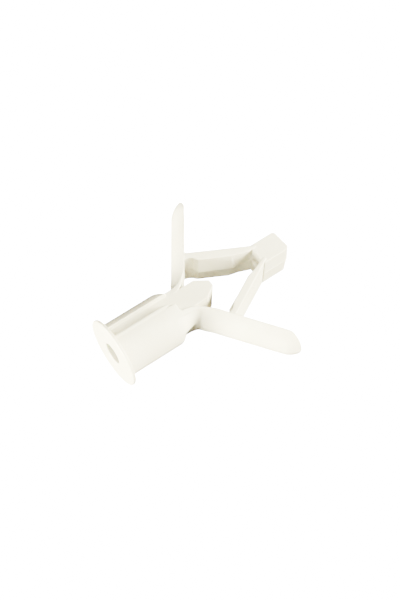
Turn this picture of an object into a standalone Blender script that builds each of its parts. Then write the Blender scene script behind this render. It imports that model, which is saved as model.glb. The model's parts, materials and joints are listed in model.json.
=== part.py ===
"""Butterfly plug for plasterboard: a nylon wall anchor in its as-moulded, wings-out state.

The real anchor is one moulding.  Here it is built as the rigid segments and the
living-hinge webs that it works as, each in its own object.  The plug lies along X:
the flange is at low X, the nose at high X, the wings fold about vertical (Z) axes.
All dimensions are in millimetres and are scaled to metres when a mesh is made.
"""

import math

import bmesh
import bpy
from mathutils import Vector

MM = 0.001

# Flange: the round head that bears on the wall
FLANGE_RADIUS = 7.0
FLANGE_THICKNESS = 0.7
FLANGE_EDGE_ROUND = 0.2
FLANGE_RECESS_RADIUS = 5.75
FLANGE_RECESS_DEPTH = 0.1

# Sleeve: the barrel that fills an 11 mm hole in the board
SLEEVE_RADIUS = 5.45
SLEEVE_START = 0.9
SLEEVE_END = 14.0
SLEEVE_END_ROUND = 1.9
SLEEVE_END_STEPS = 6
SLEEVE_END_HALF_WIDTH = 3.2
GROOVE_FLOOR = 4.0
GROOVE_NEAR = -0.72
GROOVE_FAR = 2.5
GROOVE_FAR_TOP_ANGLE = math.radians(60.3)
GROOVE_NEAR_TOP = -0.75

# Crest ribs: the narrow rails beside the grooves that stop the plug turning
RIB_START = 0.9
RIB_END = 14.0
RIB_END_SLOPE = 1.0
RIB_BASE = 4.3
RIB_TOP = 5.55
RIB_HALF_WIDTH = 0.42
RIB_EDGE_ROUND = 0.12
RIB_END_DROP = 0.45

# Screw hole: full size as far as the sleeve's end, then a taper the screw cuts into
BORE_RADIUS = 2.15
TONGUE_BORE_START_RADIUS = 1.6
TONGUE_BORE_END_RADIUS = 0.4
NOSE_BORE_RADIUS = 1.1

# Tongue: the flat-topped core between the wings
TONGUE_START = 14.3
TONGUE_SHOULDER = 20.2
TONGUE_TIP = 22.6
TONGUE_HALF_WIDTH = 2.3
TONGUE_TIP_HALF_WIDTH = 0.65
TONGUE_HALF_HEIGHT = 3.9

# Wings: circular-segment blades that stay within the sleeve's circle when folded
WING_ANGLE = math.radians(54.5)
WING_RADIUS = 4.95
WING_INNER_OFFSET = 2.65
WING_PIVOT = (18.04, 3.0)
WING_ROOT = -0.26
WING_UNDERCUT_END = 1.7
WING_UNDERCUT = 0.65
WING_UNDERCUT_STEPS = 3
WING_LENGTH = 20.14
WING_ARC_STEPS = 14
WING_TIP_THICKNESS = 0.45
WING_TIP_STEPS = 7
WING_TIP_LAST_ANGLE = math.radians(82)

# Root hinges: the webs that carry the wings on the sleeve's end
ROOT_HINGE_INNER = 2.6
ROOT_HINGE_OUTER = 3.45
ROOT_HINGE_INNER_END = 17.15
ROOT_HINGE_OUTER_END = 15.98
ROOT_HINGE_INNER_HALF_HEIGHT = 3.9
ROOT_HINGE_OUTER_HALF_HEIGHT = 3.5

# Links: the struts that tie the wings to the nose; outer line from elbow to nose corner
LINK_ELBOW = (22.5, 8.35)
LINK_NOSE_CORNER = (33.6, 2.35)
LINK_START = 1.1
LINK_END = 11.5
LINK_HALF_HEIGHT = 3.9
LINK_PAD_START = 2.2
LINK_PAD_END_FACE = 8.8
LINK_PAD_END_MIDDLE = 9.5
LINK_END_THICKNESS_FACE = 1.15
LINK_END_THICKNESS_MIDDLE = 1.35
LINK_PAD_THICKNESS_FACE = 1.75
LINK_PAD_THICKNESS_MIDDLE = 2.35

# Living hinges at the two ends of each link
ELBOW_HINGE_SPAN = (0.3, 0.8)
NOSE_HINGE_SPAN = (11.8, 12.3)
HINGE_THICKNESS = 0.7
HINGE_HALF_HEIGHT = 3.7
ELBOW_PIVOT_ALONG = 0.3
ELBOW_PIVOT_INWARD = 0.35
NOSE_PIVOT_ALONG = 12.45
NOSE_PIVOT_INWARD = 0.4

# Nose: the block that the screw pulls back towards the wall
NOSE_START = 33.75
NOSE_CORNER = 39.0
NOSE_TIP = 39.6
NOSE_HALF_WIDTH_FACE = 2.3
NOSE_HALF_WIDTH_MIDDLE = 2.45
NOSE_TIP_DRAW_IN = 0.55
NOSE_HALF_HEIGHT = 3.75
PARTING_STEP = 0.1

FULL_LENGTH = NOSE_TIP
SEGMENTS = 64
CUTTER_MARGIN = 1.0
SHARP_ANGLE = math.radians(35)

SIDES = {"left": 1, "right": -1}

IVORY = (0.86, 0.84, 0.76, 1.0)
IVORY_SHADED = (0.78, 0.75, 0.66, 1.0)
SATIN_ROUGHNESS = 0.42


def clear_scene():
    """Remove every object, so that the model starts from nothing."""
    for existing in list(bpy.data.objects):
        bpy.data.objects.remove(existing, do_unlink=True)


def plastic(name, colour):
    """Satin unpigmented nylon."""
    material = bpy.data.materials.new(name)
    material.use_nodes = True
    shader = material.node_tree.nodes["Principled BSDF"]
    shader.inputs["Base Color"].default_value = colour
    shader.inputs["Roughness"].default_value = SATIN_ROUGHNESS
    shader.inputs["Metallic"].default_value = 0.0
    return material


def loft(name, rings, origin, colour, frame):
    """Close a solid through rings of (x, y, z) points and put its origin on its joint axis."""
    mesh_builder = bmesh.new()
    centre = Vector(origin)
    loops = []
    for ring in rings:
        loops.append([mesh_builder.verts.new((Vector(point) - centre) * MM) for point in ring])
    for near, far in zip(loops, loops[1:]):
        for index in range(len(near)):
            after = (index + 1) % len(near)
            mesh_builder.faces.new((near[index], near[after], far[after], far[index]))
    mesh_builder.faces.new(list(reversed(loops[0])))
    mesh_builder.faces.new(loops[-1])
    bmesh.ops.recalc_face_normals(mesh_builder, faces=mesh_builder.faces)
    mesh = bpy.data.meshes.new(name)
    mesh_builder.to_mesh(mesh)
    mesh_builder.free()
    mesh.shade_smooth()
    mesh.set_sharp_from_angle(angle=SHARP_ANGLE)
    piece = bpy.data.objects.new(name, mesh)
    bpy.context.scene.collection.objects.link(piece)
    piece.parent = frame
    piece.location = centre * MM
    if colour is not None:
        mesh.materials.append(plastic(name, colour))
    return piece


def circle(x, radius, count=SEGMENTS):
    """A ring of points around the plug's axis."""
    points = []
    for index in range(count):
        angle = 2.0 * math.pi * index / count
        points.append((x, radius * math.cos(angle), radius * math.sin(angle)))
    return points


def bore(target, name, stations, frame):
    """Cut a turned hole, given as (x, radius) stations, along the plug's axis."""
    rings = [circle(x, radius, SEGMENTS // 2) for x, radius in stations]
    cutter = loft(name, rings, (0.0, 0.0, 0.0), None, frame)
    cutter.hide_render = True
    cutter.display_type = "WIRE"
    cut = target.modifiers.new("screw_hole", "BOOLEAN")
    cut.operation = "DIFFERENCE"
    cut.solver = "EXACT"
    cut.object = cutter


def make_flange(frame):
    """The thin round head with a softened rim and a shallow recess behind, where the sleeve starts."""
    rings = [circle(0.0, FLANGE_RADIUS - FLANGE_EDGE_ROUND)]
    rings.append(circle(FLANGE_EDGE_ROUND, FLANGE_RADIUS))
    rings.append(circle(FLANGE_THICKNESS - FLANGE_EDGE_ROUND, FLANGE_RADIUS))
    rings.append(circle(FLANGE_THICKNESS, FLANGE_RADIUS - FLANGE_EDGE_ROUND))
    rings.append(circle(FLANGE_THICKNESS, FLANGE_RECESS_RADIUS))
    rings.append(circle(FLANGE_THICKNESS - FLANGE_RECESS_DEPTH, FLANGE_RECESS_RADIUS))
    flange = loft("flange", rings, (0.0, 0.0, 0.0), IVORY, frame)
    reach = FLANGE_THICKNESS + CUTTER_MARGIN
    bore(flange, "flange_hole", [(-CUTTER_MARGIN, BORE_RADIUS), (reach, BORE_RADIUS)], frame)


def sleeve_half_outline():
    """The upper half of the sleeve's section, (y, z) points from +Y round to -Y.

    A flat-floored groove runs along the top, from the crest out to the +Y flank.
    """
    points = []
    steps = SEGMENTS // 4
    for index in range(steps + 1):
        angle = GROOVE_FAR_TOP_ANGLE * index / steps
        points.append((SLEEVE_RADIUS * math.cos(angle), SLEEVE_RADIUS * math.sin(angle)))
    points.append((GROOVE_FAR, GROOVE_FLOOR))
    points.append((GROOVE_NEAR, GROOVE_FLOOR))
    crest = math.acos(GROOVE_NEAR_TOP / SLEEVE_RADIUS)
    steps = SEGMENTS * 3 // 8
    for index in range(steps):
        angle = crest + (math.pi - crest) * index / steps
        points.append((SLEEVE_RADIUS * math.cos(angle), SLEEVE_RADIUS * math.sin(angle)))
    return points


def sleeve_ring(x, half_width):
    """The sleeve's section at x, with its two flanks drawn in to half_width."""
    upper = sleeve_half_outline()
    outline = upper + [(-y, -z) for y, z in upper]
    draw_in = (half_width - GROOVE_FAR) / (SLEEVE_RADIUS - GROOVE_FAR)
    points = []
    for y, z in outline:
        beyond = max(0.0, abs(y) - GROOVE_FAR)
        width = abs(y) - beyond * (1.0 - draw_in)
        points.append((x, math.copysign(width, y), z))
    return points


def make_sleeve(frame):
    """The barrel: half-turn symmetric, so that a second groove runs along the bottom."""
    rings = [sleeve_ring(SLEEVE_START, SLEEVE_RADIUS)]
    round_depth = SLEEVE_RADIUS - SLEEVE_END_HALF_WIDTH
    for index in range(SLEEVE_END_STEPS + 1):
        angle = 0.5 * math.pi * index / SLEEVE_END_STEPS
        x = SLEEVE_END - SLEEVE_END_ROUND * (1.0 - math.sin(angle))
        rings.append(sleeve_ring(x, SLEEVE_RADIUS - round_depth * (1.0 - math.cos(angle))))
    sleeve = loft("sleeve", rings, (0.0, 0.0, 0.0), IVORY, frame)
    stations = [(SLEEVE_START - CUTTER_MARGIN, BORE_RADIUS), (SLEEVE_END + CUTTER_MARGIN, BORE_RADIUS)]
    bore(sleeve, "sleeve_hole", stations, frame)


def make_crest_ribs(frame):
    """A narrow rail along the top of the sleeve, and its twin along the bottom."""
    wide = RIB_HALF_WIDTH
    narrow = RIB_HALF_WIDTH - RIB_EDGE_ROUND
    for name, up in (("crest_rib_top", 1), ("crest_rib_bottom", -1)):
        rings = []
        for x, drop in ((RIB_START, 0.0), (RIB_END - RIB_END_SLOPE, 0.0), (RIB_END, RIB_END_DROP)):
            top = RIB_TOP - drop
            shoulder = top - RIB_EDGE_ROUND
            rings.append([(x, -wide, up * RIB_BASE), (x, wide, up * RIB_BASE), (x, wide, up * shoulder),
                          (x, narrow, up * top), (x, -narrow, up * top), (x, -wide, up * shoulder)])
        loft(name, rings, (0.0, 0.0, 0.0), IVORY, frame)


def make_tongue(frame):
    """The core slab with a wedge-shaped tip and a tapering screw hole."""
    rings = []
    for x, half_width in ((TONGUE_START, TONGUE_HALF_WIDTH), (TONGUE_SHOULDER, TONGUE_HALF_WIDTH),
                          (TONGUE_TIP, TONGUE_TIP_HALF_WIDTH)):
        rings.append([(x, half_width, -TONGUE_HALF_HEIGHT), (x, half_width, TONGUE_HALF_HEIGHT),
                      (x, -half_width, TONGUE_HALF_HEIGHT), (x, -half_width, -TONGUE_HALF_HEIGHT)])
    tongue = loft("tongue", rings, (0.0, 0.0, 0.0), IVORY, frame)
    start = (TONGUE_START - CUTTER_MARGIN, TONGUE_BORE_START_RADIUS)
    end = (TONGUE_TIP + CUTTER_MARGIN, TONGUE_BORE_END_RADIUS)
    bore(tongue, "tongue_hole", [start, end], frame)


def make_root_hinge(side_name, side, frame):
    """The web from the sleeve's end to a wing's root."""
    rings = []
    for inner_x, outer_x in ((TONGUE_START, TONGUE_START), (ROOT_HINGE_INNER_END, ROOT_HINGE_OUTER_END)):
        rings.append([(inner_x, side * ROOT_HINGE_INNER, -ROOT_HINGE_INNER_HALF_HEIGHT),
                      (outer_x, side * ROOT_HINGE_OUTER, -ROOT_HINGE_OUTER_HALF_HEIGHT),
                      (outer_x, side * ROOT_HINGE_OUTER, ROOT_HINGE_OUTER_HALF_HEIGHT),
                      (inner_x, side * ROOT_HINGE_INNER, ROOT_HINGE_INNER_HALF_HEIGHT)])
    loft("root_hinge_" + side_name, rings, (0.0, 0.0, 0.0), IVORY_SHADED, frame)


def wing_section(along, inner, height_scale, thickness_scale, side):
    """A circular segment across the wing, at a distance along it from its pivot."""
    pivot_x, pivot_y = WING_PIVOT
    forward = (math.cos(WING_ANGLE), math.sin(WING_ANGLE))
    outward = (-math.sin(WING_ANGLE), math.cos(WING_ANGLE))
    chord = WING_INNER_OFFSET + inner
    half_angle = math.acos(chord / WING_RADIUS)
    section = []
    for index in range(WING_ARC_STEPS + 1):
        angle = half_angle * (2.0 * index / WING_ARC_STEPS - 1.0)
        rise = (WING_RADIUS * math.cos(angle) - chord) * thickness_scale
        offset = chord + rise - pivot_y
        x = pivot_x + along * forward[0] + offset * outward[0]
        y = pivot_y + along * forward[1] + offset * outward[1]
        section.append((x, side * y, WING_RADIUS * math.sin(angle) * height_scale))
    return section


def make_wing(side_name, side, frame):
    """A blade with an undercut root and a bullet-shaped tip."""
    sections = []
    for index in range(WING_UNDERCUT_STEPS + 1):
        fraction = index / WING_UNDERCUT_STEPS
        along = WING_ROOT + (WING_UNDERCUT_END - WING_ROOT) * fraction
        sections.append(wing_section(along, WING_UNDERCUT * (1.0 - fraction) ** 2, 1.0, 1.0, side))
    tip_round = math.sqrt(WING_RADIUS ** 2 - WING_INNER_OFFSET ** 2)
    for index in range(WING_TIP_STEPS + 1):
        angle = WING_TIP_LAST_ANGLE * index / WING_TIP_STEPS
        along = WING_LENGTH - tip_round * (1.0 - math.sin(angle))
        thickness = WING_TIP_THICKNESS + (1.0 - WING_TIP_THICKNESS) * math.sqrt(math.cos(angle))
        sections.append(wing_section(along, 0.0, math.cos(angle), thickness, side))
    pivot = (WING_PIVOT[0], side * WING_PIVOT[1], 0.0)
    loft("wing_" + side_name, sections, pivot, IVORY, frame)


def link_point(along, inward, z, side):
    """A point given by its distance along a link's outer line and inward from it."""
    run = LINK_NOSE_CORNER[0] - LINK_ELBOW[0]
    fall = LINK_NOSE_CORNER[1] - LINK_ELBOW[1]
    length = math.hypot(run, fall)
    forward = (run / length, fall / length)
    x = LINK_ELBOW[0] + along * forward[0] + inward * forward[1]
    y = LINK_ELBOW[1] + along * forward[1] - inward * forward[0]
    return (x, side * y, z)


def elbow_pivot(side):
    """The axis point of the hinge between a wing and its link."""
    return link_point(ELBOW_PIVOT_ALONG, ELBOW_PIVOT_INWARD, 0.0, side)


def nose_pivot(side):
    """The axis point of the hinge between a link and the nose."""
    return link_point(NOSE_PIVOT_ALONG, NOSE_PIVOT_INWARD, 0.0, side)


def make_link(side_name, side, frame):
    """A strut with a thicker pad inside, drafted both ways from the parting plane."""
    rings = []
    for height in (-1, 0, 1):
        middle = height == 0
        end_thickness = LINK_END_THICKNESS_MIDDLE if middle else LINK_END_THICKNESS_FACE
        pad_thickness = LINK_PAD_THICKNESS_MIDDLE if middle else LINK_PAD_THICKNESS_FACE
        pad_end = LINK_PAD_END_MIDDLE if middle else LINK_PAD_END_FACE
        z = height * LINK_HALF_HEIGHT
        outline = ((LINK_START, 0.0), (LINK_END, 0.0), (LINK_END, end_thickness),
                   (pad_end, pad_thickness), (LINK_PAD_START, pad_thickness), (LINK_START, end_thickness))
        rings.append([link_point(along, inward, z, side) for along, inward in outline])
    loft("link_" + side_name, rings, elbow_pivot(side), IVORY, frame)


def make_link_hinges(side_name, side, frame):
    """The thin webs at the wing end and the nose end of a link."""
    for name, span in (("elbow_hinge_", ELBOW_HINGE_SPAN), ("nose_hinge_", NOSE_HINGE_SPAN)):
        rings = []
        for z in (-HINGE_HALF_HEIGHT, HINGE_HALF_HEIGHT):
            outline = ((span[0], 0.0), (span[1], 0.0), (span[1], HINGE_THICKNESS), (span[0], HINGE_THICKNESS))
            rings.append([link_point(along, inward, z, side) for along, inward in outline])
        loft(name + side_name, rings, elbow_pivot(side), IVORY_SHADED, frame)


def nose_ring(x, draw_in):
    """The nose's section: drafted both ways from a small step at the mould's parting plane."""
    step = 0.5 * PARTING_STEP
    face = NOSE_HALF_WIDTH_FACE - draw_in
    middle = NOSE_HALF_WIDTH_MIDDLE - draw_in
    upper = [
        (x, middle, step),
        (x, face, NOSE_HALF_HEIGHT),
        (x, -face, NOSE_HALF_HEIGHT),
        (x, -middle, step),
    ]
    return upper + [(x, -y, -z) for x, y, z in upper]


def make_nose(frame):
    """The nose block with the pilot hole that the screw's thread grips."""
    rings = [
        nose_ring(NOSE_START, 0.0),
        nose_ring(NOSE_CORNER, 0.0),
        nose_ring(NOSE_TIP, NOSE_TIP_DRAW_IN),
    ]
    nose = loft("nose", rings, nose_pivot(1), IVORY, frame)
    stations = [(NOSE_START - CUTTER_MARGIN, NOSE_BORE_RADIUS), (NOSE_TIP + CUTTER_MARGIN, NOSE_BORE_RADIUS)]
    bore(nose, "nose_hole", stations, frame)


def build():
    """Make every piece of the plug around one frame empty."""
    clear_scene()
    frame = bpy.data.objects.new("plug_frame", None)
    bpy.context.scene.collection.objects.link(frame)
    frame.location = (-0.5 * FULL_LENGTH * MM, 0.0, FLANGE_RADIUS * MM)
    make_flange(frame)
    make_sleeve(frame)
    make_crest_ribs(frame)
    make_tongue(frame)
    for side_name, side in SIDES.items():
        make_root_hinge(side_name, side, frame)
        make_wing(side_name, side, frame)
        make_link(side_name, side, frame)
        make_link_hinges(side_name, side, frame)
    make_nose(frame)


build()
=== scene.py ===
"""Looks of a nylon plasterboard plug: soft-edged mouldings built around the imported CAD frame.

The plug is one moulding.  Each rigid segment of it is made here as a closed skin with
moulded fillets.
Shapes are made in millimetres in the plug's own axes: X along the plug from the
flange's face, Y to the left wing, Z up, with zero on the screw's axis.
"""
import json
import math

import bmesh
import bpy
import numpy as np
from mathutils import Matrix, Vector


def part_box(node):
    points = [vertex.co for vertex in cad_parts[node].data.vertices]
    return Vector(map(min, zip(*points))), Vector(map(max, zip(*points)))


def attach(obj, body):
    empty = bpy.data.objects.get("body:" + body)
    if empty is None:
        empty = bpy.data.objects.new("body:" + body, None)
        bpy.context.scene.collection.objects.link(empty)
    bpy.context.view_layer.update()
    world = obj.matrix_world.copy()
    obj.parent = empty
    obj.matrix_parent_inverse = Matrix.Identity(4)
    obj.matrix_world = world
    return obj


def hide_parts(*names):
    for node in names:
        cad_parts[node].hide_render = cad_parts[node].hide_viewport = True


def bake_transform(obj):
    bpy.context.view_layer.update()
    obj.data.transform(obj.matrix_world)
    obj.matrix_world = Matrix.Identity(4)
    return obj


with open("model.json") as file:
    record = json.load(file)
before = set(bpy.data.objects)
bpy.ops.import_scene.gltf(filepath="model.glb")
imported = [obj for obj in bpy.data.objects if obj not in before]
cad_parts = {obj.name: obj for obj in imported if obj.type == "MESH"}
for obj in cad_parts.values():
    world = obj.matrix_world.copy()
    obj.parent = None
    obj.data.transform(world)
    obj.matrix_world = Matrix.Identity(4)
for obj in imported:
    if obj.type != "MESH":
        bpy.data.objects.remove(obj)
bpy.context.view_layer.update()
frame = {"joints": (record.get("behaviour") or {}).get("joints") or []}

MM = 0.001

# Flange and sleeve
FLANGE_RADIUS = 6.98
FLANGE_THICKNESS = 0.7
FLANGE_EDGE_ROUND = 0.15
FLANGE_FACE_X = 0.02
SLEEVE_RADIUS = 5.45
SLEEVE_START = 0.4
SLEEVE_END = 14.0
SLEEVE_END_ROUND = 1.9
SLEEVE_END_STEPS = 10
SLEEVE_END_HALF_WIDTH = 3.2
GROOVE_FLOOR = 3.9
GROOVE_NEAR = -0.45
GROOVE_FAR = 2.5
GROOVE_FAR_TOP = 2.7

# Crest rail, and the raised back that ends aslant on the tongue's flat
RAIL_HALF_WIDTH = 0.43
RAIL_BASE = 3.5
RAIL_TOP = 5.57
RAIL_CROWN = 0.25
RAIL_ARC_STEPS = 6
# Rail stations: distance along, drop of its top, and where its groove side stands
RAIL_STATIONS = (
    (SLEEVE_START, 0.0, 0.43),
    (11.3, 0.0, 0.43),
    (12.2, 0.12, 0.36),
    (13.0, 0.38, 0.16),
    (13.6, 0.75, -0.08),
    (14.1, 1.15, -0.3),
)
SHOULDER_START = 11.0
SHOULDER_NEAR = 0.3
SHOULDER_STEPS = 14
SHOULDER_FOOT_X = 14.0
SHOULDER_FOOT_Y = -0.3
SHOULDER_SLANT = 0.886
SHOULDER_REACH = -3.15
SHOULDER_BASE = 3.3
SHOULDER_RUN = 1.5

# Tongue, web filling and holes
TONGUE_START = 12.5
TONGUE_SHOULDER = 20.2
TONGUE_TIP = 22.65
TONGUE_HALF_WIDTH = 2.3
TONGUE_TIP_HALF_WIDTH = 0.65
TONGUE_HALF_HEIGHT = 3.9
FILL_END = 16.95
FILL_HALF_WIDTH = 2.75
FILL_HALF_HEIGHT = 3.86
BORE_RADIUS = 2.15
TAPER_START_RADIUS = 1.6
TAPER_END_RADIUS = 0.4
TAPER_SHOULDER = 0.3
CUTTER_MARGIN = 1.0
PILOT_RADIUS = 1.1

# Wings: neck stations are X and Y from the fold axis, turn in degrees, thickness at the
# middle and at the edges, and how far the edge stands above the tongue on the raised side
NECK_STATIONS = (
    (-5.54, -1.00, 0.0, 1.40, 1.15, 0.35),
    (-3.04, -1.00, 0.0, 1.50, 1.15, 0.35),
    (-1.84, -0.90, 9.0, 1.65, 1.05, 0.33),
    (-1.04, -0.55, 28.0, 1.75, 0.85, 0.32),
    (-0.14, 0.05, 42.0, 1.90, 0.55, 0.31),
    (0.86, 1.05, 50.0, 2.25, 0.30, 0.30),
)
NECK_END = 0.86
NECK_FLUSH_RUN = 3.9
NECK_CURVE_STEPS = 5
NECK_EDGE_RAISE = 0.3
SWEEP_START_X = 12.3
SWEEP_LOW = math.radians(14.0)
SWEEP_HIGH = math.radians(71.0)
SWEEP_RADIUS = 5.42
SWEEP_INNER = 2.0
SWEEP_PULL = 5.0
SWEEP_STEPS = 14
SWEEP_AROUND = 12
SWEEP_END_LOW = 8.0
SWEEP_END_SPAN = 80.0
# Where the flank ends: its place as X and Y from the fold axis, and its section there
SWEEP_FOOT = (0.2, 0.35)
SWEEP_TURN = math.radians(44.0)
SWEEP_THICKNESS = 2.0
SWEEP_EDGE = 0.5
BLADE_START = 2.93
BLADE_LEAD = 1.5
BLADE_LENGTH = 20.14
BLADE_INNER = -0.42
BLADE_THICKNESS = 2.5
BLADE_EDGE = 0.16
BLADE_HALF_HEIGHT = 4.2
BLADE_TIP_RUN = 3.4
BLADE_TIP_THIN = 3.0
BLADE_TIP_OUTER = 1.42
BLADE_TIP_ROUND = 2.3
BLADE_TIP_SHIFT = 1.0
BLADE_STEPS = 12
TIP_STEPS = 12
TIP_LAST_ANGLE = math.radians(84)
ARC_STEPS = 28
BOSS_HALF_WIDTH = 0.85
BOSS_TOP_HALF_WIDTH = 0.35
BOSS_SINK = 0.5
HINGE_HALF_HEIGHT = 3.7

# Links: outlines are (distance along, depth inward) from the outer line
ELBOW_IN_LINK = (0.3, 0.35)
NOSE_AXIS_IN_LINK = (12.45, 0.4)
LINK_HALF_HEIGHT = 3.95
LINK_MIDDLE = ((-0.45, 0.17), (13.7, 0.06), (13.7, 0.45), (13.0, 0.6), (9.8, 2.0), (9.2, 2.4),
               (2.3, 2.6), (1.5, 1.75), (0.6, 1.55), (-0.1, 1.7), (-0.45, 1.85))
LINK_STEP = ((-0.45, 0.17), (13.7, 0.06), (13.7, 0.6), (12.9, 0.85), (10.4, 1.3), (8.8, 1.95),
             (2.3, 2.1), (1.5, 1.5), (0.6, 1.35), (-0.1, 1.5), (-0.45, 1.65))
LINK_FACE = ((-0.45, 0.17), (13.7, 0.06), (13.7, 0.6), (12.9, 0.85), (12.2, 1.3), (8.8, 1.85),
             (2.3, 1.95), (1.5, 1.45), (0.6, 1.35), (-0.1, 1.5), (-0.45, 1.65))
LINK_LOW_FACE = ((-0.45, 0.17), (13.7, 0.06), (13.7, 0.6), (12.9, 0.8), (10.4, 1.1), (8.6, 1.6),
                 (2.3, 1.65), (1.5, 1.35), (0.6, 1.25), (-0.1, 1.4), (-0.45, 1.55))
LINK_STEP_RUN = 0.06

# Nose
NOSE_START = 33.55
NOSE_ROUND_START = 38.5
NOSE_TIP = 39.58
NOSE_HALF_WIDTH_FACE = 2.38
NOSE_HALF_WIDTH_MIDDLE = 2.52
NOSE_TIP_DRAW_IN = 0.62
NOSE_SLANT = 0.25
NOSE_HALF_HEIGHT = 3.8
NOSE_SPLIT = 0.04
NOSE_ROUND_STEPS = 6

# Skin quality
VOXEL = 0.1
SMOOTH_FACTOR = 0.5
SHANK_SOFTENING = 5
WING_SOFTENING = 6
LINK_SOFTENING = 4
NOSE_SOFTENING = 4
PARTING_RIDGE = 0.09
PARTING_WIDTH = 0.13
PARTING_MARGIN = 0.1
CIRCLE_STEPS = 96

# Nylon: two tints that drift into each other, satin roughness, fine grain, slight milkiness
TINT_DEEP = (0.74, 0.71, 0.51, 1.0)
TINT_PALE = (0.79, 0.765, 0.58, 1.0)
TINT_SCALE = 260.0
TINT_DETAIL = 4.0
TINT_ROUGHNESS = 0.55
TINT_DISTORTION = 0.6
TINT_RAMP_START = 0.3
TINT_RAMP_END = 0.7
ROUGHNESS_LOW = 0.36
ROUGHNESS_HIGH = 0.50
ROUGHNESS_SCALE = 900.0
ROUGHNESS_DETAIL = 3.0
GRAIN_SCALE = 5200.0
GRAIN_DETAIL = 2.0
GRAIN_STRENGTH = 0.12
GRAIN_DEPTH = 0.00003
MILKINESS = 0.2
MILK_DEPTH = 0.0009
MILK_COLOUR_REACH = (1.0, 0.85, 0.6)
NYLON_IOR = 1.53

# Ground and light; a lamp is its name, compass direction and height in degrees, size and power
FLOOR_SIZE = 6.0
FLOOR_COLOUR = (0.95, 0.95, 0.95, 1.0)
FLOOR_ROUGHNESS = 0.9
FLOOR_GLOW_COLOUR = (1.0, 1.0, 1.0, 1.0)
FLOOR_GLOW = 25.0
SKY_LIGHT = 1.4
GROUND_LIGHT = (0.09, 0.05, 0.04, 1.0)
HORIZON_LIGHT = (0.13, 0.12, 0.11, 1.0)
ZENITH_LIGHT = (1.0, 0.97, 0.86, 1.0)
GROUND_HEIGHT = 0.45
HORIZON_HEIGHT = 0.56
ZENITH_HEIGHT = 0.85
LAMP_COLOUR = (1.0, 0.965, 0.80)
LAMP_DISTANCE = 0.5
LAMPS = (
    ("above", -50.0, 62.0, 0.2, 5.0),
    ("right", 57.0, 21.0, 0.2, 33.0),
    ("left", -90.0, 2.0, 0.15, 40.0),
)

# Point of view, looking down on the plug from its flange's side
VIEW_AZIMUTH = math.radians(-37.18)
VIEW_ELEVATION = math.radians(59.82)
VIEW_ROLL = math.radians(1.47)
VIEW_DISTANCE = 228.1
VIEW_AIM = (19.77, -0.47, 0.76)
LENS = 72.0
SENSOR = 36.0
CLIP_START = 0.01
CLIP_END = 20.0

SIDES = {"left": 1, "right": -1}

flange_low, flange_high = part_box("flange")
flange_middle = 0.5 * (flange_low + flange_high)
PLUG_ORIGIN = Vector((flange_low.x, flange_middle.y, flange_middle.z))
JOINTS = {joint["name"]: joint for joint in frame["joints"]}
WING_ANGLE = math.radians(-JOINTS["wing_left_fold"]["range_deg"][0])


def to_world(point):
    """A place in the plug's millimetres as a row-frame point in metres."""
    return PLUG_ORIGIN + Vector(point) * MM


def axis_place(name):
    """Where a fold's axis stands, as (X, Y) in the plug's millimetres."""
    place = (Vector(JOINTS[name]["pos_m"]) - PLUG_ORIGIN) / MM
    return place.x, place.y


WING_AXIS = axis_place("wing_left_fold")
ELBOW_AXIS = axis_place("elbow_left_fold")
NOSE_AXIS = axis_place("nose_left_fold")


def closed_loft(rings):
    """A closed solid through rings of (x, y, z) points, as a mesh in millimetres."""
    builder = bmesh.new()
    loops = [[builder.verts.new(point) for point in ring] for ring in rings]
    for near, far in zip(loops, loops[1:]):
        for index in range(len(near)):
            after = (index + 1) % len(near)
            builder.faces.new((near[index], near[after], far[after], far[index]))
    builder.faces.new(list(reversed(loops[0])))
    builder.faces.new(loops[-1])
    bmesh.ops.recalc_face_normals(builder, faces=builder.faces)
    mesh = bpy.data.meshes.new("part_of_skin")
    builder.to_mesh(mesh)
    builder.free()
    return mesh


def turned(stations, steps=CIRCLE_STEPS):
    """A solid turned about the screw's axis, from (x, radius) stations."""
    rings = []
    for x, radius in stations:
        angles = [2.0 * math.pi * index / steps for index in range(steps)]
        rings.append([(x, radius * math.cos(a), radius * math.sin(a)) for a in angles])
    return closed_loft(rings)


def place(mesh):
    """Put a mesh in the scene."""
    made = bpy.data.objects.new(mesh.name, mesh)
    bpy.context.scene.collection.objects.link(made)
    return made


def boolean(target, tool, operation):
    """Join a tool to a target, or cut it out of it."""
    change = target.modifiers.new(operation.lower(), "BOOLEAN")
    change.operation = operation
    change.solver = "EXACT"
    change.object = tool


def moulding(name, solids, holes, softening):
    """One smooth closed skin over all the solids with the holes cut out, in the row frame."""
    tools = [place(mesh) for mesh in solids[1:] + holes]
    target = place(solids[0])
    for tool in tools[:len(solids) - 1]:
        boolean(target, tool, "UNION")
    for tool in tools[len(solids) - 1:]:
        boolean(target, tool, "DIFFERENCE")
    remesh = target.modifiers.new("skin", "REMESH")
    remesh.mode = "VOXEL"
    remesh.voxel_size = VOXEL
    soften = target.modifiers.new("soften", "SMOOTH")
    soften.factor = SMOOTH_FACTOR
    soften.iterations = softening
    finished = target.evaluated_get(bpy.context.evaluated_depsgraph_get())
    skin = bpy.data.meshes.new_from_object(finished)
    for used in tools + [target]:
        bpy.data.objects.remove(used)
    raise_parting_line(skin)
    skin.transform(Matrix.Translation(PLUG_ORIGIN) @ Matrix.Scale(MM, 4))
    skin.name = name
    skin.shade_smooth()
    skin.materials.clear()
    skin.materials.append(NYLON)
    piece = place(skin)
    piece.name = name
    return piece


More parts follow.
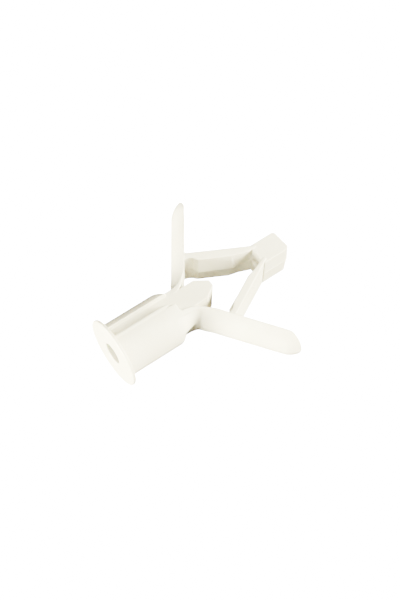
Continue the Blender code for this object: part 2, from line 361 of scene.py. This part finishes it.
def raise_parting_line(mesh):
    """The fine witness line that the two mould halves leave on upright outer walls."""
    count = len(mesh.vertices)
    places = np.empty(count * 3, np.float32)
    normals = np.empty(count * 3, np.float32)
    mesh.vertices.foreach_get("co", places)
    mesh.vertex_normals.foreach_get("vector", normals)
    places = places.reshape(-1, 3)
    normals = normals.reshape(-1, 3)
    height = PARTING_RIDGE * np.exp(-(places[:, 2] / PARTING_WIDTH) ** 2)
    upright = np.clip(1.0 - 2.0 * normals[:, 2] ** 2, 0.0, 1.0)
    outside = np.hypot(places[:, 1], places[:, 2]) > BORE_RADIUS + PARTING_MARGIN
    inside_box = np.abs(places[:, 0] - 0.5 * NOSE_TIP) < 0.5 * NOSE_TIP - PARTING_MARGIN
    places += normals * (height * upright * outside * inside_box)[:, None]
    mesh.vertices.foreach_set("co", places.ravel())
    mesh.update()


def sleeve_outline():
    """The sleeve's half-turn symmetric section without its rail, as (y, z) points."""
    upper = []
    far_angle = math.acos(GROOVE_FAR_TOP / SLEEVE_RADIUS)
    steps = CIRCLE_STEPS // 4
    for index in range(steps + 1):
        angle = far_angle * index / steps
        upper.append((SLEEVE_RADIUS * math.cos(angle), SLEEVE_RADIUS * math.sin(angle)))
    upper.append((GROOVE_FAR, GROOVE_FLOOR))
    upper.append((GROOVE_NEAR, GROOVE_FLOOR))
    near_angle = math.acos(GROOVE_NEAR / SLEEVE_RADIUS)
    for index in range(steps):
        angle = near_angle + (math.pi - near_angle) * index / steps
        upper.append((SLEEVE_RADIUS * math.cos(angle), SLEEVE_RADIUS * math.sin(angle)))
    return upper + [(-y, -z) for y, z in upper]


def sleeve_solid():
    """The barrel with its two grooves and its flanks drawn in at the far end."""
    outline = sleeve_outline()
    stations = [(SLEEVE_START, 0.0)]
    depth = SLEEVE_RADIUS - SLEEVE_END_HALF_WIDTH
    for index in range(SLEEVE_END_STEPS + 1):
        angle = 0.5 * math.pi * index / SLEEVE_END_STEPS
        x = SLEEVE_END - SLEEVE_END_ROUND * (1.0 - math.sin(angle))
        stations.append((x, depth * (1.0 - math.cos(angle))))
    rings = []
    for x, drawn in stations:
        share = 1.0 - drawn / (SLEEVE_RADIUS - GROOVE_FAR)
        ring = []
        for y, z in outline:
            beyond = max(0.0, abs(y) - GROOVE_FAR)
            ring.append((x, math.copysign(abs(y) - beyond * (1.0 - share), y), z))
        rings.append(ring)
    return closed_loft(rings)


def shoulder_solid(side):
    """The raised back beside the rail, which ends aslant on the tongue's flat."""
    rings = []
    for index in range(SHOULDER_STEPS + 1):
        y = SHOULDER_NEAR + (SHOULDER_REACH - SHOULDER_NEAR) * index / SHOULDER_STEPS
        top = math.sqrt(SLEEVE_RADIUS ** 2 - y ** 2)
        foot = SHOULDER_FOOT_X + (SHOULDER_FOOT_Y - y) * SHOULDER_SLANT
        edge = foot - SHOULDER_RUN * (top - GROOVE_FLOOR)
        base = foot + (GROOVE_FLOOR - SHOULDER_BASE)
        rings.append([(SHOULDER_START, side * y, side * SHOULDER_BASE),
                      (base, side * y, side * SHOULDER_BASE),
                      (edge, side * y, side * top),
                      (SHOULDER_START, side * y, side * top)])
    return closed_loft(rings)


def rail_solid(side):
    """The crest rail: a narrow rounded bead that drops and curves off the groove at its far end."""
    rings = []
    for x, drop, groove_side in RAIL_STATIONS:
        crown = RAIL_TOP - drop - RAIL_CROWN
        half = 0.5 * (groove_side + RAIL_HALF_WIDTH)
        middle = groove_side - half
        ring = [(x, side * (middle - half), side * RAIL_BASE),
                (x, side * (middle + half), side * RAIL_BASE)]
        for index in range(RAIL_ARC_STEPS + 1):
            angle = math.pi * index / RAIL_ARC_STEPS
            ring.append((x, side * (middle + half * math.cos(angle)),
                         side * (crown + RAIL_CROWN * math.sin(angle))))
        rings.append(ring)
    return closed_loft(rings)


def slab(x_stations, half_height):
    """An upright slab given by (x, half-width) stations."""
    rings = []
    for x, half_width in x_stations:
        rings.append([(x, half_width, -half_height), (x, half_width, half_height),
                      (x, -half_width, half_height), (x, -half_width, -half_height)])
    return closed_loft(rings)


def make_shank():
    """Flange, sleeve, rails, shoulders and tongue as one skin."""
    rim = FLANGE_EDGE_ROUND
    flange = turned([(FLANGE_FACE_X, FLANGE_RADIUS - rim), (rim, FLANGE_RADIUS),
                     (FLANGE_THICKNESS - rim, FLANGE_RADIUS), (FLANGE_THICKNESS, FLANGE_RADIUS - rim)])
    tongue = slab([(TONGUE_START, TONGUE_HALF_WIDTH), (TONGUE_SHOULDER, TONGUE_HALF_WIDTH),
                   (TONGUE_TIP, TONGUE_TIP_HALF_WIDTH)], TONGUE_HALF_HEIGHT)
    fill = slab([(TONGUE_START, FILL_HALF_WIDTH), (FILL_END, FILL_HALF_WIDTH)], FILL_HALF_HEIGHT)
    solids = [sleeve_solid(), flange, tongue, fill, rail_solid(1), rail_solid(-1),
              shoulder_solid(1), shoulder_solid(-1)]
    hole = turned([(-CUTTER_MARGIN, BORE_RADIUS), (SLEEVE_END, BORE_RADIUS),
                   (SLEEVE_END + TAPER_SHOULDER, TAPER_START_RADIUS),
                   (TONGUE_TIP + CUTTER_MARGIN, TAPER_END_RADIUS)], CIRCLE_STEPS // 2)
    piece = moulding("shank_moulding", solids, [hole], SHANK_SOFTENING)
    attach(piece, "shank")
    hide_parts("flange", "sleeve", "crest_rib_top", "crest_rib_bottom", "tongue",
                "root_hinge_left", "root_hinge_right")
    return piece


def blade_section(x, y, turn, thickness, edge, top_raise, side):
    """A flat-backed bulge across a wing; x and y are its inner middle, turn its outward angle."""
    outward = (-math.sin(turn), math.cos(turn))
    section = []
    for index in range(ARC_STEPS + 1):
        angle = math.pi * (index / ARC_STEPS - 0.5)
        share = math.sin(angle)
        half_height = TONGUE_HALF_HEIGHT + (top_raise[0] if share > 0 else top_raise[1])
        chord = half_height * share
        radius = (half_height ** 2 + (thickness - edge) ** 2) / (2.0 * (thickness - edge))
        rise = edge + math.sqrt(radius ** 2 - chord ** 2) - (radius - (thickness - edge))
        section.append((x + rise * outward[0], side * (y + rise * outward[1]), chord))
    section.append((x, side * y, TONGUE_HALF_HEIGHT + top_raise[0]))
    section.insert(0, (x, side * y, -TONGUE_HALF_HEIGHT - top_raise[1]))
    return section


def smooth_stations(stations, steps):
    """Points on a Catmull-Rom curve through rows of numbers."""
    rows = [np.array(row, float) for row in stations]
    rows = [2.0 * rows[0] - rows[1]] + rows + [2.0 * rows[-1] - rows[-2]]
    made = []
    for before, start, end, after in zip(rows, rows[1:], rows[2:], rows[3:]):
        for index in range(steps):
            t = index / steps
            made.append(0.5 * (2.0 * start + (end - before) * t
                               + (2.0 * before - 5.0 * start + 4.0 * end - after) * t ** 2
                               + (3.0 * start - before - 3.0 * end + after) * t ** 3))
    made.append(rows[-2])
    return made


def blade_place(along):
    """The inner middle of the blade at a distance along it from the fold axis."""
    forward = (math.cos(WING_ANGLE), math.sin(WING_ANGLE))
    outward = (-forward[1], forward[0])
    return (WING_AXIS[0] + along * forward[0] + BLADE_INNER * outward[0],
            WING_AXIS[1] + along * forward[1] + BLADE_INNER * outward[1])


def wing_rows(side):
    """Neck and blade as blade_section rows from root to tip."""
    rows = []
    for x, y, turn, thickness, edge, raised in NECK_STATIONS:
        flush = NECK_EDGE_RAISE * max(0.0, 1.0 - (NECK_END - x) / NECK_FLUSH_RUN)
        upper, lower = (flush, raised) if side > 0 else (raised, flush)
        rows.append((WING_AXIS[0] + x, WING_AXIS[1] + y, math.radians(turn),
                     thickness, edge, upper, lower))
    raised = BLADE_HALF_HEIGHT - TONGUE_HALF_HEIGHT
    for along in (BLADE_START, BLADE_START + BLADE_LEAD):
        x, y = blade_place(along)
        rows.append((x, y, WING_ANGLE, BLADE_THICKNESS, BLADE_EDGE, raised, raised))
    rows = [tuple(row) for row in smooth_stations(rows, NECK_CURVE_STEPS)]
    straight_end = BLADE_LENGTH - BLADE_TIP_RUN
    for index in range(1, BLADE_STEPS):
        share = index / BLADE_STEPS
        along = BLADE_START + BLADE_LEAD + (straight_end - BLADE_START - BLADE_LEAD) * share
        x, y = blade_place(along)
        rows.append((x, y, WING_ANGLE, BLADE_THICKNESS, BLADE_EDGE, raised, raised))
    for index in range(TIP_STEPS + 1):
        angle = TIP_LAST_ANGLE * index / TIP_STEPS
        along = straight_end + BLADE_TIP_RUN * math.sin(angle)
        left = BLADE_LENGTH - along
        share = math.sin(0.5 * math.pi * min(1.0, left / BLADE_TIP_THIN))
        outer = BLADE_TIP_OUTER + (BLADE_THICKNESS - BLADE_TIP_OUTER) * share
        shift = BLADE_TIP_SHIFT * max(0.0, 1.0 - left / BLADE_TIP_ROUND)
        x, y = blade_place(along)
        x -= shift * math.sin(WING_ANGLE)
        y += shift * math.cos(WING_ANGLE)
        raised = BLADE_HALF_HEIGHT * math.cos(angle) - TONGUE_HALF_HEIGHT
        rows.append((x, y, WING_ANGLE, outer - shift, BLADE_EDGE, raised, raised))
    return rows


def hermite(start, end, start_pull, end_pull, t):
    """A point on a smooth curve that leaves start and reaches end along the two pulls."""
    return (start * (2.0 * t ** 3 - 3.0 * t ** 2 + 1.0) + start_pull * (t ** 3 - 2.0 * t ** 2 + t)
            + end * (3.0 * t ** 2 - 2.0 * t ** 3) + end_pull * (t ** 3 - t ** 2))


def sweep_solid(side):
    """The full flank that carries the sleeve's curve into the wing, on the wing's raised half."""
    up = -side
    foot = Vector((WING_AXIS[0] + SWEEP_FOOT[0], WING_AXIS[1] + SWEEP_FOOT[1], 0.0))
    outward = Vector((-math.sin(SWEEP_TURN), math.cos(SWEEP_TURN), 0.0))
    forward = Vector((math.cos(SWEEP_TURN), math.sin(SWEEP_TURN), 0.0))
    bulge = SWEEP_THICKNESS - SWEEP_EDGE
    radius = (BLADE_HALF_HEIGHT ** 2 + bulge ** 2) / (2.0 * bulge)
    pull = Vector((SWEEP_PULL, 0.0, 0.0))
    rings = []
    for step in range(SWEEP_STEPS + 1):
        t = step / SWEEP_STEPS
        ring = []
        for index in range(SWEEP_AROUND + 1):
            angle = SWEEP_LOW + (SWEEP_HIGH - SWEEP_LOW) * index / SWEEP_AROUND
            start = Vector((SWEEP_START_X, SWEEP_RADIUS * math.cos(angle),
                            SWEEP_RADIUS * math.sin(angle)))
            end_angle = math.radians(SWEEP_END_LOW + SWEEP_END_SPAN * index / SWEEP_AROUND)
            height = BLADE_HALF_HEIGHT * math.sin(end_angle)
            rise = SWEEP_EDGE + math.sqrt(radius ** 2 - height ** 2) - (radius - bulge)
            end = foot + outward * rise + Vector((0.0, 0.0, height))
            spot = hermite(start, end, pull, forward * SWEEP_PULL, t)
            ring.append((spot.x, side * spot.y, up * spot.z))
        inner_start = Vector((SWEEP_START_X, SWEEP_INNER, 0.0))
        inner = hermite(inner_start, foot, pull, forward * SWEEP_PULL, t)
        ring.append((inner.x, side * inner.y, ring[-1][2]))
        ring.append((inner.x, side * inner.y, ring[0][2]))
        rings.append(ring)
    return closed_loft(rings)


def upright_prism(outline, half_height, side):
    """A prism standing on an (x, y) outline."""
    return closed_loft([[(x, side * y, z) for x, y in outline] for z in (-half_height, half_height)])


def make_wing(side_name, side):
    """A wing from its root inside the sleeve's end to its bullet tip, with the elbow's foot on it."""
    sections = [blade_section(*row[:5], row[5:], side) for row in wing_rows(side)]
    forward = Vector((math.cos(WING_ANGLE), math.sin(WING_ANGLE)))
    inward = Vector((forward.y, -forward.x))
    elbow = Vector(ELBOW_AXIS)
    depth = (elbow - Vector(blade_place(0.0))) @ inward
    foot = elbow - inward * (depth + BOSS_SINK)
    outline = [foot - forward * BOSS_HALF_WIDTH, foot + forward * BOSS_HALF_WIDTH,
               elbow + forward * BOSS_TOP_HALF_WIDTH, elbow - forward * BOSS_TOP_HALF_WIDTH]
    boss = upright_prism([(p.x, p.y) for p in outline], HINGE_HALF_HEIGHT, side)
    solids = [closed_loft(sections), sweep_solid(side), boss]
    piece = moulding("wing_%s_moulding" % side_name, solids, [], WING_SOFTENING)
    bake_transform(piece)
    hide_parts("wing_" + side_name)
    return piece


def link_point(along, inward, z, side):
    """A point of a link given from its outer line."""
    span = Vector(NOSE_AXIS) - Vector(ELBOW_AXIS)
    lean = math.atan2(NOSE_AXIS_IN_LINK[1] - ELBOW_IN_LINK[1], NOSE_AXIS_IN_LINK[0] - ELBOW_IN_LINK[0])
    angle = math.atan2(span.y, span.x) + lean
    forward = Vector((math.cos(angle), math.sin(angle)))
    into = Vector((forward.y, -forward.x))
    corner = Vector(ELBOW_AXIS) - forward * ELBOW_IN_LINK[0] - into * ELBOW_IN_LINK[1]
    spot = corner + forward * along + into * inward
    return (spot.x, side * spot.y, z)


def make_link(side_name, side):
    """A strut whose drafted pad is stepped at the parting line and thin where it bends at the nose."""
    rings = []
    for z, outline in ((-LINK_HALF_HEIGHT, LINK_LOW_FACE), (-LINK_STEP_RUN, LINK_STEP),
                       (LINK_STEP_RUN, LINK_MIDDLE), (LINK_HALF_HEIGHT, LINK_FACE)):
        rings.append([link_point(along, inward, side * z, side) for along, inward in outline])
    piece = moulding("link_%s_moulding" % side_name, [closed_loft(rings)], [], LINK_SOFTENING)
    if side > 0:
        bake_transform(piece)
    else:
        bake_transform(piece)
    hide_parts("link_" + side_name, "elbow_hinge_" + side_name, "nose_hinge_" + side_name)
    return piece


def nose_ring(x, draw_in, slant):
    """The nose's section: drafted both ways, its end leaning a little, opposite ways above and below."""
    face = NOSE_HALF_WIDTH_FACE - draw_in
    middle = NOSE_HALF_WIDTH_MIDDLE - draw_in
    upper = [(x, middle, NOSE_SPLIT), (x - slant, face, NOSE_HALF_HEIGHT),
             (x, -face, NOSE_HALF_HEIGHT), (x, -middle, NOSE_SPLIT)]
    return upper + [(px, -py, -pz) for px, py, pz in upper]


def make_nose():
    """The block at the end, with rounded far corners and the pilot hole through it."""
    rings = [nose_ring(NOSE_START, 0.0, 0.0)]
    for index in range(NOSE_ROUND_STEPS + 1):
        angle = 0.5 * math.pi * index / NOSE_ROUND_STEPS
        x = NOSE_ROUND_START + (NOSE_TIP - NOSE_ROUND_START) * math.sin(angle)
        draw_in = NOSE_TIP_DRAW_IN * (1.0 - math.cos(angle))
        rings.append(nose_ring(x, draw_in, NOSE_SLANT * math.sin(angle)))
    hole = turned([(NOSE_START - CUTTER_MARGIN, PILOT_RADIUS), (NOSE_TIP + CUTTER_MARGIN, PILOT_RADIUS)],
                  CIRCLE_STEPS // 2)
    piece = moulding("nose_moulding", [closed_loft(rings)], [hole], NOSE_SOFTENING)
    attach(piece, "nose_block")
    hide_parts("nose")
    return piece


def nylon_material():
    """Unpigmented satin nylon: warm white, slightly milky, with faint flow and grain."""
    material = bpy.data.materials.new("nylon")
    material.use_nodes = True
    nodes = material.node_tree.nodes
    links = material.node_tree.links
    shader = nodes["Principled BSDF"]
    coordinates = nodes.new("ShaderNodeTexCoord")

    flow = nodes.new("ShaderNodeTexNoise")
    flow.inputs["Scale"].default_value = TINT_SCALE
    flow.inputs["Detail"].default_value = TINT_DETAIL
    flow.inputs["Roughness"].default_value = TINT_ROUGHNESS
    flow.inputs["Distortion"].default_value = TINT_DISTORTION
    links.new(coordinates.outputs["Object"], flow.inputs["Vector"])

    tint = nodes.new("ShaderNodeValToRGB")
    tint.color_ramp.elements[0].position = TINT_RAMP_START
    tint.color_ramp.elements[0].color = TINT_DEEP
    tint.color_ramp.elements[1].position = TINT_RAMP_END
    tint.color_ramp.elements[1].color = TINT_PALE
    links.new(flow.outputs["Fac"], tint.inputs["Fac"])
    links.new(tint.outputs["Color"], shader.inputs["Base Color"])

    patches = nodes.new("ShaderNodeTexNoise")
    patches.inputs["Scale"].default_value = ROUGHNESS_SCALE
    patches.inputs["Detail"].default_value = ROUGHNESS_DETAIL
    links.new(coordinates.outputs["Object"], patches.inputs["Vector"])
    satin = nodes.new("ShaderNodeMapRange")
    satin.inputs["To Min"].default_value = ROUGHNESS_LOW
    satin.inputs["To Max"].default_value = ROUGHNESS_HIGH
    links.new(patches.outputs["Fac"], satin.inputs["Value"])
    links.new(satin.outputs["Result"], shader.inputs["Roughness"])

    grain = nodes.new("ShaderNodeTexNoise")
    grain.inputs["Scale"].default_value = GRAIN_SCALE
    grain.inputs["Detail"].default_value = GRAIN_DETAIL
    links.new(coordinates.outputs["Object"], grain.inputs["Vector"])
    bump = nodes.new("ShaderNodeBump")
    bump.inputs["Strength"].default_value = GRAIN_STRENGTH
    bump.inputs["Distance"].default_value = GRAIN_DEPTH
    links.new(grain.outputs["Fac"], bump.inputs["Height"])
    links.new(bump.outputs["Normal"], shader.inputs["Normal"])

    shader.inputs["Subsurface Weight"].default_value = MILKINESS
    shader.inputs["Subsurface Scale"].default_value = MILK_DEPTH
    shader.inputs["Subsurface Radius"].default_value = MILK_COLOUR_REACH
    shader.inputs["IOR"].default_value = NYLON_IOR
    return material


def make_floor():
    """A plain pale ground."""
    builder = bmesh.new()
    bmesh.ops.create_grid(builder, x_segments=1, y_segments=1, size=FLOOR_SIZE)
    mesh = bpy.data.meshes.new("floor")
    builder.to_mesh(mesh)
    builder.free()
    floor = place(mesh)
    material = bpy.data.materials.new("pale_ground")
    material.use_nodes = True
    shader = material.node_tree.nodes["Principled BSDF"]
    shader.inputs["Base Color"].default_value = FLOOR_COLOUR
    shader.inputs["Roughness"].default_value = FLOOR_ROUGHNESS
    shader.inputs["Emission Color"].default_value = FLOOR_GLOW_COLOUR
    shader.inputs["Emission Strength"].default_value = FLOOR_GLOW
    mesh.materials.append(material)
    floor.visible_diffuse = False
    floor.visible_glossy = False
    floor.visible_shadow = False


def add_light(name, azimuth, elevation, size, power):
    """A soft square lamp that faces the plug from a compass direction round it."""
    lamp = bpy.data.lights.new(name, "AREA")
    lamp.shape = "SQUARE"
    lamp.size = size
    lamp.energy = power
    lamp.color = LAMP_COLOUR
    holder = bpy.data.objects.new(name, lamp)
    bpy.context.scene.collection.objects.link(holder)
    a, e = math.radians(azimuth), math.radians(elevation)
    back = Vector((math.sin(a) * math.cos(e), -math.cos(a) * math.cos(e), math.sin(e)))
    holder.location = to_world(VIEW_AIM) + back * LAMP_DISTANCE
    holder.rotation_mode = "QUATERNION"
    holder.rotation_quaternion = (-back).to_track_quat("-Z", "Y")


def make_studio():
    """Pale surround, dim towards the ground, and soft lamps above, to the right and to the left."""
    world = bpy.data.worlds.new("surround")
    bpy.context.scene.world = world
    world.use_nodes = True
    nodes = world.node_tree.nodes
    links = world.node_tree.links
    background = nodes["Background"]
    direction = nodes.new("ShaderNodeTexCoord")
    parts = nodes.new("ShaderNodeSeparateXYZ")
    shade = nodes.new("ShaderNodeValToRGB")
    shade.color_ramp.elements[0].position = GROUND_HEIGHT
    shade.color_ramp.elements[0].color = GROUND_LIGHT
    shade.color_ramp.elements[1].position = ZENITH_HEIGHT
    shade.color_ramp.elements[1].color = ZENITH_LIGHT
    shade.color_ramp.elements.new(HORIZON_HEIGHT).color = HORIZON_LIGHT
    height = nodes.new("ShaderNodeMapRange")
    height.inputs["From Min"].default_value = -1.0
    height.inputs["From Max"].default_value = 1.0
    links.new(direction.outputs["Generated"], parts.inputs["Vector"])
    links.new(parts.outputs["Z"], height.inputs["Value"])
    links.new(height.outputs["Result"], shade.inputs["Fac"])
    links.new(shade.outputs["Color"], background.inputs["Color"])
    background.inputs["Strength"].default_value = SKY_LIGHT
    for lamp in LAMPS:
        add_light(*lamp)


def make_camera():
    """Look down on the plug from its flange's side."""
    camera = bpy.data.cameras.new("camera")
    camera.lens = LENS
    camera.sensor_width = SENSOR
    camera.clip_start = CLIP_START
    camera.clip_end = CLIP_END
    holder = bpy.data.objects.new("camera", camera)
    bpy.context.scene.collection.objects.link(holder)
    back = Vector((math.sin(VIEW_AZIMUTH) * math.cos(VIEW_ELEVATION),
                   -math.cos(VIEW_AZIMUTH) * math.cos(VIEW_ELEVATION), math.sin(VIEW_ELEVATION)))
    side = Vector((math.cos(VIEW_AZIMUTH), math.sin(VIEW_AZIMUTH), 0.0))
    up = back.cross(side)
    right = side * math.cos(VIEW_ROLL) + up * math.sin(VIEW_ROLL)
    above = back.cross(right)
    turn = Matrix((right, above, back)).transposed()
    spot = to_world(VIEW_AIM) + back * VIEW_DISTANCE * MM
    holder.matrix_world = Matrix.Translation(spot) @ turn.to_4x4()
    bpy.context.scene.camera = holder


NYLON = nylon_material()
make_shank()
for side_name, side in SIDES.items():
    make_wing(side_name, side)
    make_link(side_name, side)
make_nose()
make_floor()
make_studio()
make_camera()
